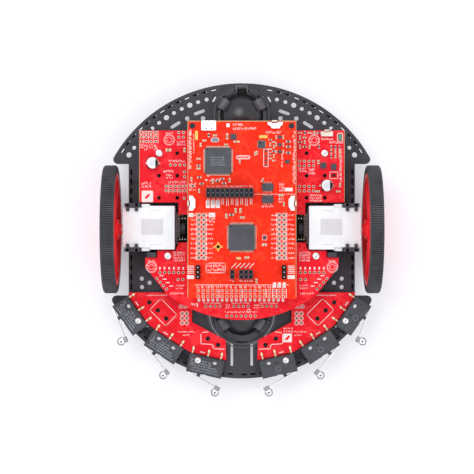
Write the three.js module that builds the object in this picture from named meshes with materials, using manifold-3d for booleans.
// Round two-wheeled line follower robot: a moulded chassis disc with two geared
// wheels, two ball casters, a battery bay, stacked circuit boards and six bump
// switches along the front. Millimetres, +Z up, the front faces -Y. The drawing
// origin is on the floor under the middle of the axle; the whole robot is moved
// at the end so that its bounding box stands centred on the origin.

import * as THREE from 'three';
import { mergeVertices } from 'three/addons/utils/BufferGeometryUtils.js';
import Module from 'manifold-3d';

const wasm = await Module();
wasm.setup();

// ---------------------------------------------------------------- dimensions

const GAP = 0.3;                 // running or seating gap between two pieces
const AXLE_Y = 5.64;             // axle's place behind the middle of the box

// chassis disc
const DISC_R = 81.85;
const DISC_Y = -0.8;             // disc centre, just ahead of the axle
const PLATE_BOTTOM = 19;
const PLATE_TOP = 22;
const SKIRT_BOTTOM = 17.2;
const SKIRT_WALL = 1.6;
const WELL_X = 62.7;             // inner wall of the wheel wells
const WELL_REAR = 36.4;
const WELL_FRONT = -36.7;
const HOLE_RING_R = 75.5;        // ring of round holes along the rear edge
const HOLE_FIRST_DEG = 75;
const HOLE_PITCH_DEG = 3.73;
const SMALL_HOLE_STEPS = [0, 1, 3, 4, 6, 7, 10];
const LARGE_HOLE_STEPS = [2, 5, 11];
const SMALL_HOLE_R = 1.15;
const LARGE_HOLE_R = 1.5;
const SLOT_RING_R = 69.7;        // two slots on each side, just inside that ring
const SLOT_ANGLES_DEG = [70.3, 58];
const SLOT_WIDE = 2;
const SLOT_LONG = 6.5;
const SIDE_HOLES = [[55.5, -27.3], [51.2, -29.6], [55.4, -32]];
const SIDE_HOLE_R = 1.2;
const ABOVE = 40;                // clear of everything that stands on the plate

// wheels
const AXLE_Z = 35;
const TYRE_R = 35;
const TYRE_BORE_R = 31.3;
const TYRE_INNER_X = 67.95;
const TYRE_OUTER_X = 75.35;
const WHEEL_SIDES = 40;
const WEB_X = 70.4;
const WEB_THICK = 2.4;
const HUB_R = 5.5;
const AXLE_R = 1.5;
const SPOKES = 6;
const WINDOW_INNER_R = 9.5;      // windows between the spokes
const WINDOW_OUTER_R = 20.8;
const SPOKE_LEAN = 0.26;         // radians from a spoke's middle to the window, at its foot
const SPOKE_TIP_LEAN = 0.1;      // and at its tip
const HUB_INNER = -3.2;          // hub's ends, measured out from the web
const HUB_OUTER = 4.9;
const BAND_R = 28.6;             // inside of the band that carries the tyre
const SHOULDER_R = 34.2;         // tyre's rounded-off edge
const SHOULDER_WIDE = 0.9;

// gear motors; each area in plan is x0, x1, y0, y1
const HOUSING_BOTTOM = 25.6;
const HOUSING_TOP = 45;
const HOUSING_WALL = 1.2;
const GEAR_CHAMBER = [54.4, 64.6, -9.9, 11.8];
const GEAR_ROOM = [51.6, 63.4, -8.7, 10.6];
const NECK = [50, 54.6, -9.9, 11.8];
const EARS = [50, 54.6, -11.9, 13.7];
const EAR_INSET = 2.4;           // ears are lower than the chambers by this at both ends
const MOTOR_CHAMBER = [36.4, 50.2, -11, 12.7];
const MOTOR_ROOM = [35, 50.4, -9.8, 11.5];
const MOTOR_Y = 0.5;
const MOTOR_X0 = 36.8;
const MOTOR_X1 = 50.1;
const MOTOR_R = 10;
const MOTOR_HALF_FLAT = 7.6;
const MOTOR_SHAFT_R = 0.75;
const PINION_R = 1.6;
const MAGNET_R = 4.4;
const ENCODER_BOARD = [34.9, 36.1, -8, 9, 26.5, 44];
const GEAR_TEETH = 20;
const GEAR_ROOT_R = 6.3;
const GEAR_TIP_R = 7.6;
const GEAR_X = 57;
const GEAR_WIDE = 3;
const CLIP_X = [55, 62.4];
const CLIP_LEG_X = [55, 63.6];
const CLIP_LEGS = [               // each leg's two faces and the tip of its fingers
  { y0: 12.1, y1: 14.1, tip: 9.8 },
  { y0: -12.2, y1: -10.2, tip: -7.9 },
];
const FINGER_X = [57.1, 61.8];
const FINGER_HALF = 0.9;
const FINGER_THICK = 1.6;

// battery bay
const BAY_X = 53.6;
const BAY_Y = 24.3;
const BAY_WALL = 1.4;
const BAY_TOP = 24.3;
const BAY_BOTTOM = 8.2;
const CELL_R = 7.25;
const CELL_PITCH = 14.4;
const CELL_Z = 15.4;
const CELL_NEAR = 0.7;           // cells' ends, from the middle of the robot
const CELL_FAR = 50.4;
const CELL_TIP_R = 2.6;
const CELL_TIP = 1.2;
const DOOR = [-53.4, 53.4, -24.6, 24.6, 6.4, 7.9];
const DOOR_NOTCH_Y = -27.5;
const DOOR_NOTCH_R = 8;

// ball casters
const BALL_R = 12.7;
const REAR_CASTER_Y = 63.4;
const FRONT_CASTER_Y = -46.5;
const REAR_HUMPS = [30, 150, 270];    // where the rollers are, in degrees
const FRONT_HUMPS = [-30, 210, 90];
const CASTER_WALL_R = 15.6;
const CASTER_SEAT_R = 14.4;
const CASTER_SEAT_TOP = 13.4;
const CASTER_BOTTOM = 9.2;
const CASTER_TOP = 23.4;
const SOCKET_R = 13.3;
const DOME_R = 14.4;
const HUMP = [8, 16.9, -4.2, 4.2, 16.5, 26.2];
const POCKET = [9.4, 16.3, -3.5, 3.5, 18.5, 25.3];
const RETAINER = [[11.1, 4.6], [14.1, 4.6], [14.1, 13.1], [13.1, 13.1], [13.1, 8], [11.1, 5.8]];
const FLEXURE_INNER_R = 17.6;    // gap round the front caster's springy arm
const FLEXURE_OUTER_R = 18.4;
const ARM_HALF = 4.8;
const ARM_GAP = 1.4;
const ARM_ROOT_Y = -75.7;
const ARM_TIP_Y = -62;
const ROLLER_R = 3;
const ROLLER_LENGTH = 6.4;
const ROLLER_OUT = 13.1;         // roller centre, out from the ball's centre
const ROLLER_UP = 9.2;           // and above it

// circuit boards
const PCB = 1.6;
const BUMP_BOARD_Z = 23.4;
const CONTROL_Z = 39.4;
const PROCESSOR_Z = 52;
const SENSOR_Z = 9;
const CONTROL_HALF = [
  [0, 53.7], [55.9, 53.7], [55.9, 14.6], [34.5, 14.6], [34.5, 8], [29.5, 8],
  [29.5, -7.2], [34.5, -7.2], [36, -11.6], [46.1, -11.6], [46.1, -15.3], [52.6, -15.3], [52.6, -20.5],
  [40.9, -35], [36.8, -38.2], [26.4, -43.9], [14.9, -47.5], [4.5, -49.1],
];
const CONTROL_SCREWS = [[45, 41.3], [-45, 41.3], [40.3, -14.6], [-40.3, -14.6]];
const CONTROL_SCREW_R = 1.6;
const PROCESSOR = [-29.25, 29.25, -37.4, 58.3];
const PROCESSOR_HOLES = [[-26.6, 55.5], [26.6, 55.5]];
const PROCESSOR_HOLE_R = 1.5;
const BUMP_INNER = [[62.7, -34.8], [27.5, -34.8], [27.5, -51.2], [9.6, -60.5]];
const BUMP_HOLES = [[51.1, -40.4], [41.8, -49.3]];
const BUMP_HOLE_R = 1.25;
const SENSOR_BAR = [-32, 32, -30.4, -25];
const SENSOR_HOLES = [[-28.5, -27.7], [28.5, -27.7]];
const SENSOR_HOLE_R = 1.2;
const HEADER = [19.1, 24.1, -16.7, 8.8];

// button caps: x0, x1, y0, y1 and, for the power button, z0, z1
const USER_CAP = [28.4, 29.3, 12.4, 15.2];
const RESET_CAP = [16.1, 18.9, 57.5, 58.4];
const POWER_CAP = [44.8, 47.4, 53.2, 54.1, 41.7, 43.3];
const CAP_TALL = 1.7;
const CAP_ABOVE_BOARD = 0.7;

// bump switches, measured along (u) and out of (v) each switch: where each one
// is on its ring, which way it faces, how far its lever stands off, and the two
// ends of the board's edge behind it
const SWITCH_RING_R = 75.7;
const SWITCH_PLACES = [
  { at: -37.8, faces: -35.2, lever: 13.2, edge: [9.9, -8.8] },
  { at: -56.4, faces: -56.8, lever: 17, edge: [9.9, -9] },
  { at: -75.0, faces: -77.2, lever: 17, edge: [10.6, -9.9] },
];
const SWITCH_LONG = 19.8;
const SWITCH_BACK = -2.9;
const SWITCH_FACE = 7.3;
const SWITCH_BOTTOM = 22.3;
const SWITCH_TOP = 28.7;
const SWITCH_HOLE_HALF = 4.75;
const SWITCH_HOLE_R = 1.2;
const HINGE_U = -7.6;
const HINGE_V = 8;
const LEVER_LONG = 18.9;
const LEVER_HEEL = -0.9;
const LEVER_THICK = 0.4;
const LEVER_BOTTOM = 23.3;
const LEVER_TOP = 27.7;
const LEVER_ROLLER_S = 17.4;     // roller centre along the lever
const LEVER_ROLLER_N = 2.55;     // and out from it
const LEVER_ROLLER_R = 2.25;
const LEVER_ROLLER_BORE_R = 0.95;
const LEVER_PIN_R = 0.6;
const CHEEK = 0.5;
const CHEEK_R = 1.5;

// ----------------------------------------------------------------- materials

function plastic(color, roughness) {
  return new THREE.MeshStandardMaterial({ color, roughness, metalness: 0 });
}

function metal(color, roughness) {
  return new THREE.MeshStandardMaterial({ color, roughness, metalness: 1 });
}

const MATERIALS = {
  black: plastic(0x2b2c30, 0.55),
  switchBlack: plastic(0x303238, 0.5),
  white: plastic(0xf0f0f2, 0.4),
  redBoard: plastic(0xd8202c, 0.35),
  orangeBoard: plastic(0xf03a1c, 0.35),
  redWheel: plastic(0xc8202c, 0.35),
  tyre: plastic(0x35373a, 0.8),
  steel: metal(0xb8babd, 0.35),
  magnet: metal(0x4a4c50, 0.5),
  cell: metal(0x9aa4ac, 0.35),
  cream: plastic(0xe8e6e0, 0.4),
  grey: plastic(0x8a8a8d, 0.4),
  header: plastic(0x1d1e20, 0.5),
};

// ------------------------------------------------------------ solid modelling

function bare(geometry) {
  const copy = geometry.clone();
  copy.deleteAttribute('normal');
  copy.deleteAttribute('uv');
  return mergeVertices(copy, 1e-4);
}

// Solid with its faces pointing out, whichever way the geometry was wound.
function solid(geometry) {
  if (geometry instanceof wasm.Manifold) {
    return geometry;
  }
  const merged = bare(geometry);
  const triVerts = new Uint32Array(merged.index.array);
  if (signedVolume(merged) < 0) {
    flip(triVerts);
  }
  const vertProperties = new Float32Array(merged.attributes.position.array);
  return new wasm.Manifold(new wasm.Mesh({ numProp: 3, vertProperties, triVerts }));
}

function signedVolume(geometry) {
  const points = geometry.attributes.position;
  const index = geometry.index.array;
  const a = new THREE.Vector3();
  const b = new THREE.Vector3();
  const c = new THREE.Vector3();
  let volume = 0;
  for (let i = 0; i < index.length; i += 3) {
    a.fromBufferAttribute(points, index[i]);
    b.fromBufferAttribute(points, index[i + 1]);
    c.fromBufferAttribute(points, index[i + 2]);
    volume += a.dot(b.cross(c)) / 6;
  }
  return volume;
}

function flip(triVerts) {
  for (let i = 0; i < triVerts.length; i += 3) {
    const second = triVerts[i + 1];
    triVerts[i + 1] = triVerts[i + 2];
    triVerts[i + 2] = second;
  }
}

function join(pieces) {
  return pieces.map(solid).reduce((whole, piece) => whole.add(piece));
}

function cut(base, tools) {
  return tools.map(solid).reduce((whole, tool) => whole.subtract(tool), solid(base));
}

function toGeometry(shape) {
  const mesh = solid(shape).getMesh();
  const geometry = new THREE.BufferGeometry();
  geometry.setAttribute('position', new THREE.BufferAttribute(mesh.vertProperties, 3));
  geometry.setIndex(new THREE.BufferAttribute(mesh.triVerts, 1));
  return geometry;
}

// ---------------------------------------------------------------- primitives

function block(x0, x1, y0, y1, z0, z1) {
  const box = new THREE.BoxGeometry(x1 - x0, y1 - y0, z1 - z0);
  return box.translate((x0 + x1) / 2, (y0 + y1) / 2, (z0 + z1) / 2);
}

// Round post standing along Z.
function post(x, y, z0, z1, radius, sides = 12) {
  const cylinder = new THREE.CylinderGeometry(radius, radius, z1 - z0, sides);
  return cylinder.rotateX(Math.PI / 2).translate(x, y, (z0 + z1) / 2);
}

// Round bar lying along X.
function bar(x0, x1, y, z, radius, sides = 16) {
  const cylinder = new THREE.CylinderGeometry(radius, radius, x1 - x0, sides);
  return cylinder.rotateZ(Math.PI / 2).translate((x0 + x1) / 2, y, z);
}

// Flat plate of the given outline between two heights.
function slab(shape, z0, z1, curveSegments = 24) {
  const options = { depth: z1 - z0, bevelEnabled: false, curveSegments };
  return new THREE.ExtrudeGeometry(shape, options).translate(0, 0, z0);
}

function outline(points) {
  return new THREE.Shape(points.map(([x, y]) => new THREE.Vector2(x, y)));
}

// Profile of [radius, height] pairs turned about the vertical axis.
function turned(profile, sides, phase = 0) {
  const closed = [...profile, profile[0]].map(([r, h]) => new THREE.Vector2(r, h));
  return new THREE.LatheGeometry(closed, sides, phase).rotateX(Math.PI / 2);
}

// Lays a piece that was drawn along Z down along X, its +Z end at +X.
function layAlongX(geometry, x, y, z) {
  return geometry.rotateY(Math.PI / 2).translate(x, y, z);
}

function ball(x, y, z, radius, around = 20, down = 14) {
  const sphere = new THREE.SphereGeometry(radius, around, down);
  return sphere.rotateX(Math.PI / 2).translate(x, y, z);
}

function radians(degrees) {
  return THREE.MathUtils.degToRad(degrees);
}

// Geometry seen in a mirror standing on the robot's centre plane.
function mirrored(shape) {
  return toGeometry(toGeometry(shape).scale(-1, 1, 1));
}

const robot = new THREE.Group();
robot.position.y = AXLE_Y;

function add(name, shape, material) {
  const mesh = new THREE.Mesh(toGeometry(shape), material);
  mesh.name = name;
  robot.add(mesh);
  return mesh;
}

// One piece on the +X side and its mirror image on the -X side.
function addPair(name, shape, material, suffix = '') {
  add(`${name}_right${suffix}`, shape, material);
  add(`${name}_left${suffix}`, mirrored(shape), material);
}

// ------------------------------------------------------------------- chassis

function discOutline(inset) {
  const radius = DISC_R - inset;
  const wellX = WELL_X - inset;
  const rear = WELL_REAR + inset;
  const front = WELL_FRONT - inset;
  const rearAngle = Math.asin((rear - DISC_Y) / radius);
  const frontAngle = Math.asin((front - DISC_Y) / radius);
  const shape = new THREE.Shape();
  shape.moveTo(wellX, front);
  shape.lineTo(wellX, rear);
  shape.absarc(0, DISC_Y, radius, rearAngle, Math.PI - rearAngle, false);
  shape.lineTo(-wellX, rear);
  shape.lineTo(-wellX, front);
  shape.absarc(0, DISC_Y, radius, Math.PI - frontAngle, 2 * Math.PI + frontAngle, false);
  return shape;
}

// Place on a ring about the disc's centre, and its mirror image.
function onRing(radius, angleDeg) {
  const x = radius * Math.cos(radians(angleDeg));
  const y = DISC_Y + radius * Math.sin(radians(angleDeg));
  return [[x, y], [-x, y]];
}

function drilled(places, radius) {
  return places.map(([x, y]) => post(x, y, SKIRT_BOTTOM, PLATE_TOP + 1, radius, 6));
}

// Round holes that follow the rear edge, on both sides.
function edgeHoles() {
  const places = (steps) => {
    return steps.flatMap((step) => onRing(HOLE_RING_R, HOLE_FIRST_DEG - step * HOLE_PITCH_DEG));
  };
  return [
    ...drilled(places(SMALL_HOLE_STEPS), SMALL_HOLE_R),
    ...drilled(places(LARGE_HOLE_STEPS), LARGE_HOLE_R),
  ];
}

// Short slots along the rear edge, each lying across the radius.
function edgeSlots() {
  return SLOT_ANGLES_DEG.flatMap((angleDeg) => onRing(SLOT_RING_R, angleDeg)).map(([x, y]) => {
    const slot = new THREE.BoxGeometry(SLOT_WIDE, SLOT_LONG, 2 * PLATE_TOP);
    return slot.rotateZ(Math.atan2(y - DISC_Y, x)).translate(x, y, PLATE_TOP);
  });
}

// Screw holes on the sides, ahead of the motors.
function sideHoles() {
  return drilled(SIDE_HOLES.flatMap(([x, y]) => [[x, y], [-x, y]]), SIDE_HOLE_R);
}

// Outer bodies of one caster housing: collar, dome over the ball, roller humps.
function casterHousing(y, humpAngles) {
  const upperHalf = block(-DOME_R, DOME_R, y - DOME_R, y + DOME_R, BALL_R, ABOVE);
  const dome = solid(ball(0, y, BALL_R, DOME_R)).intersect(solid(upperHalf));
  const collar = post(0, y, CASTER_BOTTOM, CASTER_TOP, CASTER_WALL_R, 24);
  return [collar, dome, ...spread(HUMP, y, humpAngles)];
}

// Copies of a block turned to the given angles about a caster's centre.
function spread(sizes, y, angles) {
  return angles.map((angle) => block(...sizes).rotateZ(radians(angle)).translate(0, y, 0));
}

// What is hollowed out of it: ball socket, retainer seat and roller pockets.
function casterHollow(y, humpAngles) {
  const socket = ball(0, y, BALL_R, SOCKET_R, 18, 12);
  const seat = post(0, y, 0, CASTER_SEAT_TOP, CASTER_SEAT_R, 24);
  return [socket, seat, ...spread(POCKET, y, humpAngles)];
}

// Gap that frees the front caster's springy arm from the plate.
function flexureGap() {
  const ring = cut(
    post(0, FRONT_CASTER_Y, SKIRT_BOTTOM, PLATE_TOP + 1, FLEXURE_OUTER_R, 28),
    [post(0, FRONT_CASTER_Y, SKIRT_BOTTOM - 1, PLATE_TOP + 2, FLEXURE_INNER_R, 28)],
  );
  const arm = block(-ARM_HALF, ARM_HALF, ARM_ROOT_Y, FRONT_CASTER_Y, 0, ABOVE);
  const far = ARM_HALF + ARM_GAP;
  return [
    cut(ring, [arm]),
    block(ARM_HALF, far, ARM_ROOT_Y, ARM_TIP_Y, SKIRT_BOTTOM - 1, ABOVE),
    block(-far, -ARM_HALF, ARM_ROOT_Y, ARM_TIP_Y, SKIRT_BOTTOM - 1, ABOVE),
  ];
}

function chassisBase() {
  const plate = slab(discOutline(0), PLATE_BOTTOM, PLATE_TOP, 26);
  const skirt = cut(
    slab(discOutline(0), SKIRT_BOTTOM, PLATE_BOTTOM + 0.5, 26),
    [slab(discOutline(SKIRT_WALL), SKIRT_BOTTOM - 1, PLATE_BOTTOM, 26)],
  );
  const bay = block(-BAY_X, BAY_X, -BAY_Y, BAY_Y, BAY_BOTTOM, BAY_TOP);
  const bayHollow = block(
    -BAY_X + BAY_WALL, BAY_X - BAY_WALL,
    -BAY_Y + BAY_WALL, BAY_Y - BAY_WALL,
    BAY_BOTTOM - 1, BAY_TOP - BAY_WALL,
  );
  const bodies = join([
    plate,
    skirt,
    bay,
    ...casterHousing(REAR_CASTER_Y, REAR_HUMPS),
    ...casterHousing(FRONT_CASTER_Y, FRONT_HUMPS),
  ]);
  return cut(bodies, [
    bayHollow,
    ...casterHollow(REAR_CASTER_Y, REAR_HUMPS),
    ...casterHollow(FRONT_CASTER_Y, FRONT_HUMPS),
    ...flexureGap(),
    ...edgeHoles(),
    ...edgeSlots(),
    ...sideHoles(),
  ]);
}

add('chassis_base', chassisBase(), MATERIALS.black);

// ------------------------------------------------------------- battery bay

// Three cells lying side by side along X, joined along their touching sides.
function cellBank() {
  const rows = [-CELL_PITCH, 0, CELL_PITCH];
  const cells = rows.map((y) => bar(CELL_NEAR, CELL_FAR, y, CELL_Z, CELL_R));
  const tips = rows.map((y) => bar(CELL_FAR - 1, CELL_FAR + CELL_TIP, y, CELL_Z, CELL_TIP_R, 8));
  return join([...cells, ...tips]);
}

// Lid with a thumb notch in its front edge.
function batteryDoor() {
  return cut(block(...DOOR), [post(0, DOOR_NOTCH_Y, 0, BAY_BOTTOM, DOOR_NOTCH_R, 24)]);
}

addPair('battery_cells', cellBank(), MATERIALS.cell);
add('battery_door', batteryDoor(), MATERIALS.black);

// -------------------------------------------------------------- ball casters

// Roller that lies across the radius at the given angle, resting on the ball.
function casterRoller(y, angleDeg) {
  const roller = new THREE.CylinderGeometry(ROLLER_R, ROLLER_R, ROLLER_LENGTH, 16);
  roller.translate(ROLLER_OUT, 0, 0);
  return roller.rotateZ(radians(angleDeg)).translate(0, y, BALL_R + ROLLER_UP);
}

function addCaster(place, y, humpAngles) {
  add(`caster_ball_${place}`, ball(0, y, BALL_R, BALL_R), MATERIALS.white);
  add(`caster_retainer_${place}`, turned(RETAINER, 24).translate(0, y, 0), MATERIALS.black);
  humpAngles.forEach((angle, i) => {
    add(`caster_roller_${place}_${i + 1}`, casterRoller(y, angle), MATERIALS.cream);
  });
}

addCaster('rear', REAR_CASTER_Y, REAR_HUMPS);
addCaster('front', FRONT_CASTER_Y, FRONT_HUMPS);

// -------------------------------------------------------- motors and wheels

// Moulded housing: a gear chamber outboard and a motor chamber open inboard.
function gearboxHousing() {
  const shell = join([
    block(...GEAR_CHAMBER, HOUSING_BOTTOM, HOUSING_TOP),
    block(...NECK, HOUSING_BOTTOM, HOUSING_TOP),
    block(...MOTOR_CHAMBER, HOUSING_BOTTOM, HOUSING_TOP),
    block(...EARS, HOUSING_BOTTOM + EAR_INSET, HOUSING_TOP - EAR_INSET),
  ]);
  const floor = HOUSING_BOTTOM + HOUSING_WALL;
  const ceiling = HOUSING_TOP - HOUSING_WALL;
  return cut(shell, [
    block(...GEAR_ROOM, floor, ceiling),
    block(...MOTOR_ROOM, floor, ceiling),
    bar(MOTOR_X1 - 0.1, GEAR_ROOM[0] + 0.1, MOTOR_Y, AXLE_Z, PINION_R + 0.8, 12),
    bar(GEAR_ROOM[1] - 0.4, GEAR_CHAMBER[1] + 0.4, 0, AXLE_Z, AXLE_R + 0.4, 12),
  ]);
}

// Flat-sided motor can with its shaft hole.
function motorCan() {
  const can = solid(bar(MOTOR_X0, MOTOR_X1, MOTOR_Y, AXLE_Z, MOTOR_R, 24));
  const flats = [AXLE_Z - MOTOR_HALF_FLAT, AXLE_Z + MOTOR_HALF_FLAT];
  const slice = solid(block(MOTOR_X0 - 1, MOTOR_X1 + 1, -2 * MOTOR_R, 2 * MOTOR_R, ...flats));
  const hole = bar(MOTOR_X0 - 1, MOTOR_X1 + 1, MOTOR_Y, AXLE_Z, MOTOR_SHAFT_R + 0.45, 8);
  return cut(can.intersect(slice), [hole]);
}

// Motor shaft with the encoder's magnet disc inboard and the pinion outboard.
function motorShaft() {
  return join([
    bar(30.6, 33.8, MOTOR_Y, AXLE_Z, MAGNET_R, 16),
    bar(33.5, 52.6, MOTOR_Y, AXLE_Z, MOTOR_SHAFT_R, 8),
    bar(52.4, 55.2, MOTOR_Y, AXLE_Z, PINION_R, 8),
  ]);
}

function encoderBoard() {
  return cut(block(...ENCODER_BOARD), [bar(34, 37, MOTOR_Y, AXLE_Z, 1.6, 12)]);
}

// Saddle under the gear chamber with two legs and four fingers over its top.
function motorClip() {
  const low = PLATE_TOP + GAP;
  const high = HOUSING_TOP + FINGER_THICK;
  const [front, rear] = [CLIP_LEGS[1].y0, CLIP_LEGS[0].y1];
  const pieces = [block(...CLIP_X, front, rear, low, HOUSING_BOTTOM - GAP)];
  for (const { y0, y1, tip } of CLIP_LEGS) {
    pieces.push(block(...CLIP_LEG_X, y0, y1, low, high));
    for (const x of FINGER_X) {
      const reach = [Math.min(y0, tip), Math.max(y1, tip)];
      pieces.push(block(x - FINGER_HALF, x + FINGER_HALF, ...reach, HOUSING_TOP + GAP, high));
    }
  }
  return join(pieces);
}

// Output shaft with the last gear of the train.
function driveAxle() {
  const step = (2 * Math.PI) / GEAR_TEETH;
  const tooth = [[-0.36, GEAR_ROOT_R], [-0.16, GEAR_TIP_R], [0.16, GEAR_TIP_R], [0.36, GEAR_ROOT_R]];
  const points = Array.from({ length: GEAR_TEETH }, (_, i) => tooth.map(([turn, radius]) => {
    const angle = (i + turn) * step;
    return [radius * Math.cos(angle), radius * Math.sin(angle)];
  })).flat();
  const gear = layAlongX(slab(outline(points), 0, GEAR_WIDE), GEAR_X, 0, AXLE_Z);
  return join([gear, bar(GEAR_X - 0.8, TYRE_OUTER_X - 0.35, 0, AXLE_Z, AXLE_R, 12)]);
}

// Window between two spokes, wider at the rim than at the hub.
function spokeWindow(index) {
  const middle = (2 * Math.PI * (index + 0.5)) / SPOKES;
  const halfInner = Math.PI / SPOKES - SPOKE_LEAN;
  const halfOuter = Math.PI / SPOKES - SPOKE_TIP_LEAN;
  const shape = new THREE.Shape();
  shape.absarc(0, 0, WINDOW_INNER_R, middle + halfInner, middle - halfInner, true);
  shape.absarc(0, 0, WINDOW_OUTER_R, middle - halfOuter, middle + halfOuter, false);
  return slab(shape, -1, WEB_THICK + 1, 4);
}

function wheelRim() {
  const phase = Math.PI / WHEEL_SIDES;
  const web = cut(
    post(0, 0, 0, WEB_THICK, BAND_R + 0.9, WHEEL_SIDES),
    Array.from({ length: SPOKES }, (_, i) => spokeWindow(i)),
  );
  const low = TYRE_INNER_X - WEB_X;
  const high = TYRE_OUTER_X - WEB_X;
  const flangeR = TYRE_BORE_R - GAP;
  const profile = [[BAND_R, low], [flangeR, low], [flangeR, high], [BAND_R, high]];
  const band = turned(profile, WHEEL_SIDES, phase);
  const hub = post(0, 0, HUB_INNER, HUB_OUTER, HUB_R, 16);
  const bore = post(0, 0, HUB_INNER - 1, HUB_OUTER + 1, AXLE_R + GAP, 10);
  const wheel = cut(join([web, band, hub]), [bore]);
  return layAlongX(toGeometry(wheel), WEB_X, 0, AXLE_Z);
}

// The tread's flats, not its corners, lie at the rolling radius.
function tyre() {
  const tread = TYRE_R / Math.cos(Math.PI / WHEEL_SIDES);
  const wide = TYRE_OUTER_X - TYRE_INNER_X;
  const profile = [
    [TYRE_BORE_R, 0], [SHOULDER_R, 0], [tread, SHOULDER_WIDE],
    [tread, wide - SHOULDER_WIDE], [SHOULDER_R, wide], [TYRE_BORE_R, wide],
  ];
  const ring = turned(profile, WHEEL_SIDES, Math.PI / WHEEL_SIDES);
  return layAlongX(ring, TYRE_INNER_X, 0, AXLE_Z);
}

addPair('gearbox', gearboxHousing(), MATERIALS.white);
addPair('motor', motorCan(), MATERIALS.steel);
addPair('motor_shaft', motorShaft(), MATERIALS.magnet);
addPair('encoder_board', encoderBoard(), MATERIALS.redBoard);
addPair('motor_clip', motorClip(), MATERIALS.black);
addPair('drive_axle', driveAxle(), MATERIALS.steel);
addPair('wheel', wheelRim(), MATERIALS.redWheel);
addPair('tyre', tyre(), MATERIALS.tyre);

// ------------------------------------------------------------ circuit boards

function boardHoles(places, radius, z) {
  return places.map(([x, y]) => post(x, y, z - 1, z + PCB + 1, radius, 10));
}

function controlBoard() {
  const otherHalf = CONTROL_HALF.slice(1).reverse().map(([x, y]) => [-x, y]);
  const board = slab(outline([...CONTROL_HALF, ...otherHalf]), CONTROL_Z, CONTROL_Z + PCB);
  return cut(board, boardHoles(CONTROL_SCREWS, CONTROL_SCREW_R, CONTROL_Z));
}

function processorBoard() {
  const board = block(...PROCESSOR, PROCESSOR_Z, PROCESSOR_Z + PCB);
  return cut(board, boardHoles(PROCESSOR_HOLES, PROCESSOR_HOLE_R, PROCESSOR_Z));
}

// Board whose outer edge follows the backs of its three switches.
function bumpBoard() {
  const edge = [...SWITCH_PLACES].reverse().flatMap((place) => {
    return place.edge.map((u) => switchPoint(place, u, SWITCH_BACK - GAP));
  });
  const board = slab(outline([...BUMP_INNER, ...edge]), BUMP_BOARD_Z, BUMP_BOARD_Z + PCB);
  return cut(board, boardHoles(BUMP_HOLES, BUMP_HOLE_R, BUMP_BOARD_Z));
}

// Place in the robot's plan of a point given in a switch's own axes.
function switchPoint(place, u, v) {
  const at = radians(place.at);
  const out = radians(place.faces);
  return [
    SWITCH_RING_R * Math.cos(at) + v * Math.cos(out) + u * Math.sin(out),
    SWITCH_RING_R * Math.sin(at) + v * Math.sin(out) - u * Math.cos(out),
  ];
}

function lineSensorBoard() {
  const board = block(...SENSOR_BAR, SENSOR_Z, SENSOR_Z + PCB);
  return cut(board, boardHoles(SENSOR_HOLES, SENSOR_HOLE_R, SENSOR_Z));
}

function stackingHeader() {
  return block(...HEADER, CONTROL_Z + PCB + GAP, PROCESSOR_Z - GAP);
}

add('control_board', controlBoard(), MATERIALS.redBoard);
add('processor_board', processorBoard(), MATERIALS.orangeBoard);
add('line_sensor_board', lineSensorBoard(), MATERIALS.redBoard);
addPair('bump_board', bumpBoard(), MATERIALS.redBoard);
addPair('stacking_header', stackingHeader(), MATERIALS.header);

// ------------------------------------------------------------------- buttons

const CAP_LOW = PROCESSOR_Z + PCB + CAP_ABOVE_BOARD;
const CAP_HIGH = CAP_LOW + CAP_TALL;
addPair('button_user', block(...USER_CAP, CAP_LOW, CAP_HIGH), MATERIALS.cream);
add('button_reset', block(...RESET_CAP, CAP_LOW, CAP_HIGH), MATERIALS.cream);
add('button_power', block(...POWER_CAP), MATERIALS.cream);

// -------------------------------------------------------------- bump switches

// Sets a piece drawn in switch axes (u along +X, v along +Y) at its place.
function placeSwitch(shape, place) {
  const at = radians(place.at);
  const turn = radians(place.faces - 90);
  const geometry = toGeometry(shape).rotateZ(turn);
  return geometry.translate(SWITCH_RING_R * Math.cos(at), SWITCH_RING_R * Math.sin(at), 0);
}

function switchBody() {
  const half = SWITCH_LONG / 2;
  const body = block(-half, half, SWITCH_BACK, SWITCH_FACE, SWITCH_BOTTOM, SWITCH_TOP);
  const holes = [-1, 1].map((end) => {
    return post(end * SWITCH_HOLE_HALF, 0, SWITCH_BOTTOM - 1, SWITCH_TOP + 1, SWITCH_HOLE_R, 10);
  });
  return cut(body, holes);
}

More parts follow.
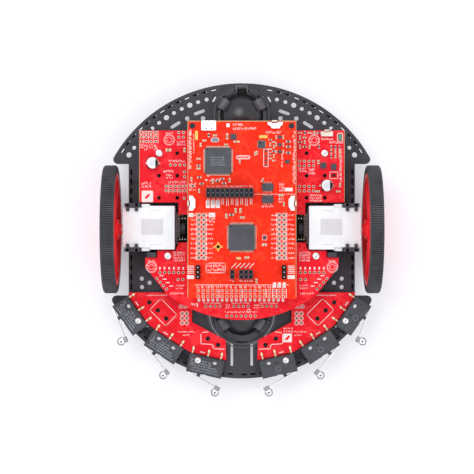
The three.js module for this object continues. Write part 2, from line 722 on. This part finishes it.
// Sets a piece drawn in lever axes (s along +X, n along +Y) on its hinge. The
// hinge is at the switch's far end from the middle of the robot, so the lever
// runs inward.
function onHinge(shape, place) {
  const turnedOut = toGeometry(shape).rotateZ(radians(place.lever));
  return turnedOut.translate(HINGE_U, HINGE_V, 0);
}

// Cheek of the fork that holds the roller's pin.
function cheekOutline() {
  const shape = new THREE.Shape();
  shape.moveTo(LEVER_ROLLER_S + CHEEK_R, -LEVER_THICK);
  shape.lineTo(LEVER_ROLLER_S + CHEEK_R, LEVER_ROLLER_N);
  shape.absarc(LEVER_ROLLER_S, LEVER_ROLLER_N, CHEEK_R, 0, Math.PI, false);
  shape.lineTo(LEVER_ROLLER_S - CHEEK_R, -LEVER_THICK);
  return shape;
}

function switchLever() {
  const blade = block(LEVER_HEEL, LEVER_LONG, -LEVER_THICK, 0, LEVER_BOTTOM, LEVER_TOP);
  const lower = slab(cheekOutline(), LEVER_BOTTOM, LEVER_BOTTOM + CHEEK, 4);
  const upper = slab(cheekOutline(), LEVER_TOP - CHEEK, LEVER_TOP, 4);
  const ends = [LEVER_BOTTOM + 0.1, LEVER_TOP - 0.1];
  const pin = post(LEVER_ROLLER_S, LEVER_ROLLER_N, ...ends, LEVER_PIN_R, 8);
  return join([blade, lower, upper, pin]);
}

function leverRoller() {
  const low = LEVER_BOTTOM + CHEEK + GAP;
  const high = LEVER_TOP - CHEEK - GAP;
  const body = post(LEVER_ROLLER_S, LEVER_ROLLER_N, low, high, LEVER_ROLLER_R, 16);
  const bore = post(LEVER_ROLLER_S, LEVER_ROLLER_N, low - 1, high + 1, LEVER_ROLLER_BORE_R, 8);
  return cut(body, [bore]);
}

// On the +X side u runs towards the front middle.
SWITCH_PLACES.forEach((place, i) => {
  const suffix = `_${i + 1}`;
  const set = (shape) => placeSwitch(shape, place);
  addPair('bump_switch', set(switchBody()), MATERIALS.switchBlack, suffix);
  addPair('bump_lever', set(onHinge(switchLever(), place)), MATERIALS.steel, suffix);
  addPair('lever_roller', set(onHinge(leverRoller(), place)), MATERIALS.grey, suffix);
});

export default robot;
